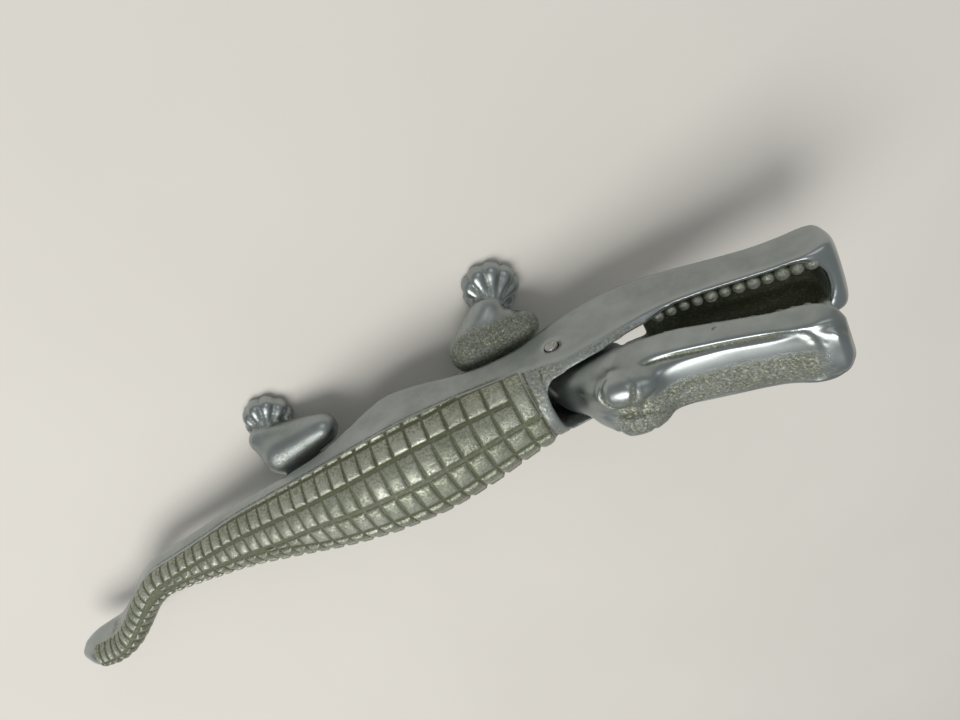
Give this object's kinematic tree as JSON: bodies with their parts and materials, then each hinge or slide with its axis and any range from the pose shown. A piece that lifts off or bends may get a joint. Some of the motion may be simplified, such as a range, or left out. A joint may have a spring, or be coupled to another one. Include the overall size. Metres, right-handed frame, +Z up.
{
  "type": "lever nutcracker",
  "caption": "Cast aluminium lever nutcracker shaped as a crocodile on four feet; lifting the tail opens the jaws, pressing it down cracks the nut.",
  "frame": {"origin": "on the ground under the middle of the whole object, at rest on its four feet", "axes": "+X from the tail towards the snout, +Y to the animal's left, +Z up; the hinge runs along Y"},
  "size_m": [0.269, 0.0714, 0.0785],
  "materials": {
    "worn_casting": "sand cast and worn bright, darkened in the grooves between the scutes",
    "smooth_casting": "sand cast, polished by handling, pitted where it was left rough",
    "rivet_steel": "peened rivet end, dull"
  },
  "bodies": {
    "standing_lever": {"leg_lever": "smooth_casting"},
    "lifting_lever": {"tail_lever": "worn_casting", "pivot_pin": "rivet_steel"}
  },
  "joints": [
    {"name": "jaw_hinge", "type": "hinge", "parent": "standing_lever", "child": "lifting_lever", "pos_m": [0.0555, 0.00265, 0.032], "axis": [0, 1, 0], "range_deg": [0, 20]}
  ]
}
